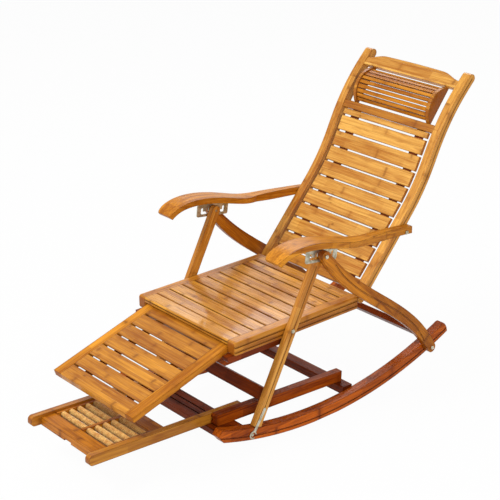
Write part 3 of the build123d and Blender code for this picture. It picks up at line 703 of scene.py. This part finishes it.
BAMBOO: dict[Tone, Bamboo] = {
    Tone.PALE: Bamboo(Tone.PALE, (0.40, 0.128, 0.010), (0.95, 0.53, 0.115)),
    Tone.HONEY: Bamboo(Tone.HONEY, (0.37, 0.112, 0.007), (0.90, 0.46, 0.085)),
    Tone.GOLD: Bamboo(Tone.GOLD, (0.26, 0.066, 0.003), (0.70, 0.298, 0.030)),
    Tone.GLOSS: Bamboo(Tone.GLOSS, (0.29, 0.080, 0.003), (0.84, 0.400, 0.044), streak=0.6, coat=0.24,
                       rough=0.28),
    Tone.HAZEL: Bamboo(Tone.HAZEL, (0.30, 0.080, 0.003), (0.82, 0.335, 0.026), coat=0.04, gloss=0.10),
    Tone.AMBER: Bamboo(Tone.AMBER, (0.20, 0.042, 0.002), (0.68, 0.240, 0.014), coat=0.06, gloss=0.10),
    Tone.RUSSET: Bamboo(Tone.RUSSET, (0.15, 0.018, 0.001), (0.70, 0.150, 0.008), coat=0.03, gloss=0.08),
    Tone.CHESTNUT: Bamboo(Tone.CHESTNUT, (0.080, 0.010, 0.001), (0.34, 0.058, 0.006), coat=0.02,
                          gloss=0.08),
}


@dataclass
class Finishes:
    """Every material, made once at its first use."""

    made: dict[str, bpy.types.Material] = field(default_factory=dict)

    def once(self, key: str, make: Callable[[], bpy.types.Material]) -> bpy.types.Material:
        """Make a material the first time, and find it again afterwards.

        Args:
            key: The name to keep it under.
            make: What makes it.

        Returns:
            The material.
        """
        if key not in self.made:
            self.made[key] = make()
        return self.made[key]

    def bamboo(self, tone: Tone, grain: Grain) -> bpy.types.Material:
        """The bamboo of a tone, with its fibres along a direction."""
        return self.once(f"{tone.value}_{grain.name}", lambda: BAMBOO[tone].material(grain))

    def knurled(self) -> bpy.types.Material:
        """The massage rollers' turned wood."""
        return self.once("knurled", KnurledWood().material)

    def zinc(self) -> bpy.types.Material:
        """The plated steel."""
        return self.once("zinc", Zinc().material)


def full_turn(count: int) -> np.ndarray:
    """Angles spaced evenly round a circle."""
    return np.linspace(0.0, 2.0 * math.pi, count, endpoint=False)


def turned_mesh(name: str, places: np.ndarray, centre: tuple[float, float],
                reach: np.ndarray) -> bpy.types.Mesh:
    """A closed surface turned about a line along X.

    Each point is the line's point at its ring's x, plus its reach times (cos, sin) of its turn in the
    YZ plane. The two ends close on their own rims with one face each.

    Args:
        name: The mesh's name.
        places: The x of each ring.
        centre: The line's y and z.
        reach: The radius at each ring and turn.

    Returns:
        The mesh.
    """
    rings, around = reach.shape
    turn = full_turn(around)
    points = np.empty((rings, around, 3))
    points[:, :, 0] = places[:, None]
    points[:, :, 1] = centre[0] + reach * np.cos(turn)
    points[:, :, 2] = centre[1] + reach * np.sin(turn)
    ring = np.arange(rings - 1)[:, None] * around
    first = np.arange(around)
    ahead = np.roll(first, -1)
    quads = np.stack([ring + first, ring + ahead, ring + around + ahead, ring + around + first], -1)
    quads = quads.reshape(-1, 4)
    last = first + (rings - 1) * around
    # Rings that run towards -X give faces the other way round.
    if places[-1] < places[0]:
        quads = quads[:, ::-1]
        first, last = first[::-1], last[::-1]
    faces = quads.tolist() + [first[::-1].tolist(), last.tolist()]
    mesh = bpy.data.meshes.new(name)
    mesh.from_pydata(points.reshape(-1, 3).tolist(), [], faces)
    mesh.polygons.foreach_set("use_smooth", [True] * len(quads) + [False, False])
    mesh.update()
    return mesh


def swept_mesh(name: str, sections: np.ndarray, low_x: float, high_x: float) -> bpy.types.Mesh:
    """Closed prisms along X.

    Each prism is its outline of (y, z) points at the low x and again at the high x, with a face from
    each side of the outline to its copy and one face over each end.

    Args:
        name: The mesh's name.
        sections: The outlines by prism, point and axis, turning left as seen from +X.
        low_x: Where the prisms start.
        high_x: Where they end.

    Returns:
        The mesh.
    """
    prisms, count, _ = sections.shape
    points = np.empty((prisms, 2, count, 3))
    points[:, 0, :, 0] = low_x
    points[:, 1, :, 0] = high_x
    points[:, :, :, 1:] = sections[:, None]
    ring = np.arange(count) + 2 * count * np.arange(prisms)[:, None]
    ahead = np.roll(ring, -1, axis=1)
    sides = np.stack([ring, ahead, ahead + count, ring + count], -1).reshape(-1, 4)
    faces = ring[:, ::-1].tolist() + (ring + count).tolist() + sides.tolist()
    mesh = bpy.data.meshes.new(name)
    mesh.from_pydata(points.reshape(-1, 3).tolist(), [], faces)
    mesh.update()
    return mesh


def node_points(node: bpy.types.Object) -> np.ndarray:
    """A CAD node's corners.

    Args:
        node: The node.

    Returns:
        One row of (x, y, z) for each corner.
    """
    points = np.empty(len(node.data.vertices) * 3)
    node.data.vertices.foreach_get("co", points)
    return points.reshape(-1, 3)


def add_piece(mesh: bpy.types.Mesh, material: bpy.types.Material, body: str) -> bpy.types.Object:
    """Put a mesh into the scene as a piece that rides on a body.

    Args:
        mesh: The piece's mesh, already in place.
        material: Its finish.
        body: The CAD body that carries it.

    Returns:
        The piece.
    """
    piece = bpy.data.objects.new(mesh.name, mesh)
    mesh.materials.append(material)
    bpy.context.scene.collection.objects.link(piece)
    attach(piece, body)
    LOG.info("built %s on %s", mesh.name, body)
    return piece


@dataclass(frozen=True)
class BoltCap:
    """A domed bolt head with a hexagon socket, set over a plain CAD head."""

    radius: float = 0.0062
    dome: float = 0.0016
    wall: float = 0.0007
    socket: float = 0.0023
    socket_depth: float = 0.0016
    flat_share: float = 0.52
    dome_rings: int = 8
    around: int = 48

    def build(self, name: str, body: str, spot: Spot, side: Side, material: bpy.types.Material) -> None:
        """Make one cap.

        Its rings rise by a quarter ellipse from the rim to the socket's edge, then drop to the socket's
        floor. The socket's radius is its flat divided by the cosine of the turn from the flat's middle.

        Args:
            name: The piece's name.
            body: The CAD body that carries it.
            spot: The middle of the CAD head's outer face.
            side: The side that the cap faces.
            material: The plated finish.
        """
        sixth = math.pi / 3.0
        hexagon = self.socket / np.cos(np.mod(full_turn(self.around), sixth) - sixth / 2.0)
        slope = np.linspace(1.0, self.flat_share, self.dome_rings)
        crown = self.wall + self.dome * np.sqrt(1.0 - slope ** 2)
        rims = self.radius * np.concatenate((slope[:1], slope))
        rims = np.repeat(rims[:, None], self.around, axis=1)
        reach = np.concatenate((rims, [hexagon, hexagon]))
        height = np.concatenate(([0.0], crown, [crown[-1], crown[-1] - self.socket_depth]))
        mesh = turned_mesh(name, spot[0] + side.value * height, spot[1:], reach)
        add_piece(mesh, material, body)


@dataclass
class SubAssembly:
    """CAD nodes that belong together, with their finishes and the pieces that only the looks need."""

    frame: dict[str, Any]
    finishes: Finishes
    bamboo: ClassVar[dict[str, tuple[Tone, Grain]]] = {}
    steel: ClassVar[tuple[str, ...]] = ()
    head_zone: ClassVar[float] = 2.0 * BoltCap.radius

    def build(self) -> None:
        """Dress the CAD nodes and make the extra pieces."""
        for name, (tone, grain) in self.bamboo.items():
            self.wear(name, self.finishes.bamboo(tone, grain))
        for name in self.steel:
            self.wear(name, self.finishes.zinc())
        self.detail()

    def wear(self, name: str, material: bpy.types.Material) -> None:
        """Give one CAD node its finish.

        Args:
            name: The node's name.
            material: The finish.
        """
        slots = self.frame["nodes"][name].data.materials
        slots.clear()
        slots.append(material)
        LOG.info("dressed %s", name)

    def detail(self) -> None:
        """Make the pieces that only the looks need."""

    def pivot(self, joint: str) -> Spot:
        """A joint's place at rest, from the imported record."""
        joints = self.frame["record"]["behaviour"]["joints"]
        return next(tuple(j["pos_m"]) for j in joints if j["name"] == joint)

    def cap_bolts(self, node: str, joint: str, body: str) -> None:
        """Set a domed cap on the outermost CAD bolt head at a joint, on each side.

        Args:
            node: The CAD node of the bolts.
            joint: The joint whose axis they lie on.
            body: The CAD body that carries them.
        """
        points = node_points(self.frame["nodes"][node])
        _, y, z = self.pivot(joint)
        near = points[np.hypot(points[:, 1] - y, points[:, 2] - z) < self.head_zone]
        for side in Side:
            outer = side.value * np.max(near[:, 0] * side.value)
            name = f"cap_{joint}_{side.name.lower()}"
            BoltCap().build(name, body, (outer, y, z), side, self.finishes.zinc())


class RockerBase(SubAssembly):
    """Two bowed rockers with their cross pieces and the massager's guides."""

    bamboo = {
        "rocker_left": (Tone.RUSSET, Grain.LEVEL),
        "rocker_right": (Tone.RUSSET, Grain.LEVEL),
        "front_board": (Tone.CHESTNUT, Grain.ACROSS),
        "middle_rail": (Tone.CHESTNUT, Grain.ACROSS),
        "guide_left": (Tone.RUSSET, Grain.GUIDE),
        "guide_right": (Tone.RUSSET, Grain.GUIDE),
    }
    steel = ("hook_pins",)


class LegFrame(SubAssembly):
    """Crossed front and rear legs with their rails, bolts and wire hooks."""

    bamboo = {
        "rear_leg_left": (Tone.AMBER, Grain.REAR_LEG),
        "rear_leg_right": (Tone.AMBER, Grain.REAR_LEG),
        "rear_leg_rail": (Tone.CHESTNUT, Grain.ACROSS),
        "front_leg_left": (Tone.HONEY, Grain.FRONT_LEG),
        "front_leg_right": (Tone.HONEY, Grain.FRONT_LEG),
        "front_leg_rail": (Tone.CHESTNUT, Grain.ACROSS),
    }
    steel = ("rear_leg_bolts", "front_leg_bolts", "hook_left", "hook_right")

    def detail(self) -> None:
        """Cap the bolts at the rear feet, the apex and the seat's pivots."""
        self.cap_bolts("rear_leg_bolts", "fold", "rear_legs")
        self.cap_bolts("rear_leg_bolts", "fold_front_legs", "rear_legs")
        self.cap_bolts("front_leg_bolts", "fold_seat", "front_legs")


@dataclass
class SeatDeck(SubAssembly):
    """Seat rails, boards and runners, with the plates that carry the back."""

    bamboo = {
        "seat_rail_left": (Tone.GOLD, Grain.LEVEL),
        "seat_rail_right": (Tone.GOLD, Grain.LEVEL),
        "seat_front_board": (Tone.GLOSS, Grain.ACROSS),
        "seat_slats": (Tone.GLOSS, Grain.ACROSS),
        "seat_runners": (Tone.CHESTNUT, Grain.LEVEL),
    }
    steel = ("seat_hinge_plates", "back_pivot_bolts", "legrest_pins")
    nose: float = 0.005
    nose_points: int = 7
    groove_width: float = 0.0032
    groove_depth: float = 0.0040

    def detail(self) -> None:
        """Make the front board with the groove along its front edge."""
        low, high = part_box("seat_front_board")
        turn = np.linspace(math.pi / 2.0, math.pi, self.nose_points)
        rounded = np.stack([low.y + self.nose * (1.0 + np.cos(turn)),
                            high.z - self.nose * (1.0 - np.sin(turn))], -1)
        top = (low.z + high.z + self.groove_width) / 2.0
        bottom = top - self.groove_width
        inner = low.y + self.groove_depth
        back = [(low.y, low.z), (high.y, low.z), (high.y, high.z)]
        groove = [(low.y, top), (inner, top), (inner, bottom), (low.y, bottom)]
        section = np.concatenate((back, rounded, groove))
        mesh = swept_mesh("front_board_grooved", section[None], low.x, high.x)
        finish = self.finishes.bamboo(*self.bamboo["seat_front_board"])
        piece = add_piece(mesh, finish, "seat")
        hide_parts("seat_front_board")


class SlattedBack(SubAssembly):
    """Bent stiles, rails and slats, with the arched pillow."""

    bamboo = {
        "stile_left": (Tone.HONEY, Grain.BACK),
        "stile_right": (Tone.HONEY, Grain.BACK),
        "crest_rail": (Tone.PALE, Grain.ACROSS),
        "pillow_rail": (Tone.GOLD, Grain.ACROSS),
        "lower_rail": (Tone.GOLD, Grain.ACROSS),
        "back_slats": (Tone.PALE, Grain.ACROSS),
        "back_battens": (Tone.CHESTNUT, Grain.BACK),
        "pillow_ends": (Tone.GOLD, Grain.ACROSS),
        "pillow_slats": (Tone.HAZEL, Grain.ACROSS),
    }


class ArmPair(SubAssembly):
    """Sculpted armrests with their comb-slotted plates."""

    bamboo = {
        "armrest_left": (Tone.HAZEL, Grain.ARM),
        "armrest_right": (Tone.HAZEL, Grain.ARM),
    }
    steel = ("comb_plate_left", "comb_plate_right", "arm_pivot_bolts")

    def detail(self) -> None:
        """Cap the bolts at the arms' rear pivots."""
        self.cap_bolts("arm_pivot_bolts", "fold_arms", "arm_pivot")


@dataclass
class LegRest(SubAssembly):
    """The sliding leg rest."""

    bamboo = {
        "legrest_rails": (Tone.HAZEL, Grain.LEGREST),
        "legrest_slats": (Tone.GOLD, Grain.ACROSS),
        "legrest_battens": (Tone.CHESTNUT, Grain.LEGREST),
    }
    bevel: float = 0.0015
    lip: float = 0.0034
    undercut: float = 0.0050
    least_gap: float = 0.003
    most_gap: float = 0.010

    def section(self, start: float, end: float, bottom: float, top: float, inner: bool) -> np.ndarray:
        """A board's outline along and above the leg rest, turning left.

        Args:
            start: Its front edge.
            end: Its rear edge.
            bottom: Its underside.
            top: Its upper face.
            inner: Whether it is a slat, planed away below its edges.

        Returns:
            The outline's points.
        """
        cut = self.undercut if inner else 0.0
        lip = top - self.lip
        bevel = self.bevel
        return np.array([(start + cut, bottom), (end - cut, bottom), (end, lip), (end, top - bevel),
                         (end - bevel, top), (start + bevel, top), (start, top - bevel), (start, lip)])

    def edges(self, run: np.ndarray) -> tuple[np.ndarray, np.ndarray]:
        """Where each board starts and ends along the leg rest.

        A step from one corner to the next is a gap between boards where it is as long as one: bevels
        are shorter, and boards are longer.

        Args:
            run: How far along the leg rest each corner lies.

        Returns:
            The boards' front edges and their rear edges.
        """
        ordered = np.unique(run)
        steps = np.diff(ordered)
        breaks = np.flatnonzero((steps > self.least_gap) & (steps < self.most_gap))
        starts = np.concatenate((ordered[:1], ordered[breaks + 1]))
        ends = np.concatenate((ordered[breaks], ordered[-1:]))
        return starts, ends

    def detail(self) -> None:
        """Make the slats with their lower edges planed away, so that light shows through the gaps."""
        points = node_points(self.frame["nodes"]["legrest_slats"])
        tilt = math.radians(Grain.LEGREST.value)
        axes = np.array([(math.cos(tilt), math.sin(tilt)), (-math.sin(tilt), math.cos(tilt))])
        flat = points[:, 1:] @ axes.T
        starts, ends = self.edges(flat[:, 0])
        top = flat[:, 1].max()
        sections = []
        for index, (start, end) in enumerate(zip(starts, ends)):
            board = flat[(flat[:, 0] >= start) & (flat[:, 0] <= end)]
            inner = 0 < index < len(starts) - 1
            sections.append(self.section(start, end, board[:, 1].min(), top, inner) @ axes)
        mesh = swept_mesh("legrest_boards", np.stack(sections), points[:, 0].min(), points[:, 0].max())
        finish = self.finishes.bamboo(*self.bamboo["legrest_slats"])
        piece = add_piece(mesh, finish, "legrest")
        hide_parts("legrest_slats")


@dataclass
class FootMassager(SubAssembly):
    """The pull-out frame of knurled rollers."""

    bamboo = {
        "massage_rails": (Tone.GOLD, Grain.GUIDE),
        "massage_planks": (Tone.AMBER, Grain.ACROSS),
        "roller_bearers": (Tone.AMBER, Grain.GUIDE),
    }
    set_back: float = 0.022
    front_zone: float = 0.030
    weld_digits: int = 6
    knurl_depth: float = 0.0013
    knurl_turns: int = 16
    knurl_lead: float = 0.0150
    shoulder: float = 0.0022
    axle_radius: float = 0.003
    axle_length: float = 0.0045
    around: int = 96
    rings: int = 120

    def profile(self, low: Vector, high: Vector) -> tuple[np.ndarray, np.ndarray]:
        """Ring places and radii of one roller: axle, rounded shoulder, barrel, and back again.

        Args:
            low: The CAD roller's lowest corner.
            high: Its highest corner.

        Returns:
            The x of each ring and its radius.
        """
        barrel = (high.z - low.z) / 2.0
        start = low.x + self.axle_length
        end = high.x - self.axle_length
        body = np.linspace(start, end, self.rings)
        edge = np.minimum(body - start, end - body)
        ease = np.clip(edge / self.shoulder, 0.0, 1.0)
        round_off = self.shoulder * (1.0 - np.sqrt(1.0 - (1.0 - ease) ** 2))
        places = np.concatenate(([low.x, start], body, [end, high.x]))
        axle = np.full(2, self.axle_radius)
        return places, np.concatenate((axle, barrel - round_off, axle))

    def detail(self) -> None:
        """Set the front plank back between the rails, and make the rollers."""
        self.planks()
        self.rollers()

    def planks(self) -> None:
        """Copy the CAD planks, merged, with the front plank's nose drawn back along the rails."""
        node = self.frame["nodes"]["massage_planks"]
        corners = np.empty(len(node.data.loops), dtype=np.int32)
        node.data.loops.foreach_get("vertex_index", corners)
        loose = np.round(node_points(node), self.weld_digits)
        points, merged = np.unique(loose, axis=0, return_inverse=True)
        faces = merged.ravel()[corners].reshape(-1, 3)
        nose = points[:, 1] < points[:, 1].min() + self.front_zone
        tilt = math.radians(Grain.GUIDE.value)
        points[nose, 1] += self.set_back * math.cos(tilt)
        points[nose, 2] += self.set_back * math.sin(tilt)
        mesh = bpy.data.meshes.new("planks_set_back")
        mesh.from_pydata(points.tolist(), [], faces.tolist())
        mesh.update()
        finish = self.finishes.bamboo(*self.bamboo["massage_planks"])
        piece = add_piece(mesh, finish, "massage_frame")
        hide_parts("massage_planks")

    def rollers(self) -> None:
        """Make every roller in place of its plain CAD roller.

        The knurl is the greater of two waves round the barrel, one leaning each way along it, so
        their ridges cross as diamonds.
        """
        turn = self.knurl_turns * full_turn(self.around)
        for name in sorted(self.frame["nodes"]):
            if not name.startswith(("roller_left", "roller_right")):
                continue
            low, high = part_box(name)
            places, radii = self.profile(low, high)
            middle = (low + high) / 2.0
            lean = 2.0 * math.pi * (places - low.x)[:, None] / self.knurl_lead
            ripple = self.knurl_depth * (np.maximum(np.cos(turn + lean), np.cos(turn - lean)) - 1.0)
            ripple[radii == self.axle_radius] = 0.0
            reach = radii[:, None] + ripple
            mesh = turned_mesh(f"{name}_knurled", places, (middle.y, middle.z), reach)
            piece = add_piece(mesh, self.finishes.knurled(), name)
            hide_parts(name)


@dataclass(frozen=True)
class Lamp:
    """A soft square lamp: where it hangs, its side and its power."""

    name: str
    spot: Spot
    size: float
    watts: float

    def build(self, target: Spot) -> None:
        """Hang the lamp and aim it.

        Args:
            target: What it is aimed at.
        """
        light = bpy.data.lights.new(self.name, "AREA")
        light.size = self.size
        light.energy = self.watts
        lamp = bpy.data.objects.new(self.name, light)
        lamp.location = self.spot
        aim = Vector(target) - Vector(self.spot)
        lamp.rotation_euler = aim.to_track_quat("-Z", "Y").to_euler()
        bpy.context.scene.collection.objects.link(lamp)


@dataclass(frozen=True)
class Studio:
    """Floor, soft lamps and the camera at the photograph's viewing angle."""

    target: Spot = (0.0, -0.0036, 0.513)
    azimuth: float = 49.68
    elevation: float = 22.52
    roll: float = -0.64
    distance: float = 4.374
    focal_pixels: float = 1413.7
    sensor: float = 36.0
    floor_half: float = 30.0
    floor_drop: float = 0.0003
    floor_grey: float = 0.74
    floor_rough: float = 0.9
    floor_glow: float = 0.965
    glow_strength: float = 1.0
    sky_light: float = 0.42
    lamps: tuple[Lamp, ...] = (
        Lamp("key", (-0.9, -2.6, 3.4), 1.6, 110.0),
        Lamp("fill", (3.4, -1.4, 2.0), 2.4, 78.0),
        Lamp("back", (-2.2, 2.4, 3.0), 2.0, 50.0),
    )

    def camera(self) -> None:
        """Place the camera on a sphere about the target, turned by the roll."""
        turn = math.radians(self.azimuth)
        lift = math.radians(self.elevation)
        right = Vector((math.cos(turn), math.sin(turn), 0.0))
        level = Vector((math.sin(turn), -math.cos(turn), 0.0))
        back = level * math.cos(lift) + Vector((0.0, 0.0, math.sin(lift)))
        up = back.cross(right)
        lean = math.radians(self.roll)
        side = math.cos(lean) * right + math.sin(lean) * up
        top = -math.sin(lean) * right + math.cos(lean) * up
        lens = bpy.data.cameras.new("camera")
        lens.sensor_width = self.sensor
        lens.lens = self.sensor * self.focal_pixels / PHOTO_SIDE
        camera = bpy.data.objects.new("camera", lens)
        axes = Matrix((side, top, back)).transposed().to_4x4()
        camera.matrix_world = Matrix.Translation(Vector(self.target) + back * self.distance) @ axes
        bpy.context.scene.collection.objects.link(camera)
        bpy.context.scene.camera = camera

    @staticmethod
    def seen(sheet: NodeSheet) -> Wire:
        """1 for what the camera or a mirror sees, 0 for the light that falls on the chair."""
        path = sheet.add("ShaderNodeLightPath", {}, {}, "Is Camera Ray")
        return (path + path.also("Is Glossy Ray") + path.also("Is Transmission Ray")).at_most(1.0)

    def floor(self) -> None:
        """A wide white floor that keeps the chair's shadow."""
        half = self.floor_half
        low = -self.floor_drop
        mesh = bpy.data.meshes.new("floor")
        corners = [(-half, -half, low), (half, -half, low), (half, half, low), (-half, half, low)]
        mesh.from_pydata(corners, [], [(0, 1, 2, 3)])
        floor = bpy.data.objects.new("floor", mesh)
        bpy.context.scene.collection.objects.link(floor)
        material = bpy.data.materials.new("floor_white")
        sheet = NodeSheet(material)
        matt = sheet.surface({"Base Color": (self.floor_grey,) * 3, "Roughness": self.floor_rough,
                              "Specular IOR Level": 0.0})
        glow = sheet.add("ShaderNodeEmission", {}, {"Color": WHITE, "Strength": self.glow_strength})
        share = self.seen(sheet) * self.floor_glow
        sheet.show(sheet.add("ShaderNodeMixShader", {}, {0: share, 1: matt, 2: glow}))
        mesh.materials.append(material)

    def sky(self) -> None:
        """White to the camera and in reflections, a plain soft light elsewhere."""
        world = bpy.data.worlds.new("studio")
        bpy.context.scene.world = world
        sheet = NodeSheet(world)
        strength = self.seen(sheet) * (1.0 - self.sky_light) + self.sky_light
        sky = sheet.add("ShaderNodeBackground", {}, {"Color": WHITE, "Strength": strength})
        sheet.show(sky, "ShaderNodeOutputWorld")

    def build(self) -> None:
        """Set up the whole studio."""
        bpy.context.scene.view_settings.view_transform = "Standard"
        self.camera()
        self.floor()
        self.sky()
        for lamp in self.lamps:
            lamp.build(self.target)


def main() -> None:
    """Build the chair's looks in order."""
    logging.basicConfig(level=logging.INFO, format="%(name)s: %(message)s")
    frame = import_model()
    finishes = Finishes()
    for kind in (RockerBase, LegFrame, SeatDeck, SlattedBack, ArmPair, LegRest, FootMassager):
        kind(frame, finishes).build()
    Studio().build()


if __name__ == "__main__":
    main()
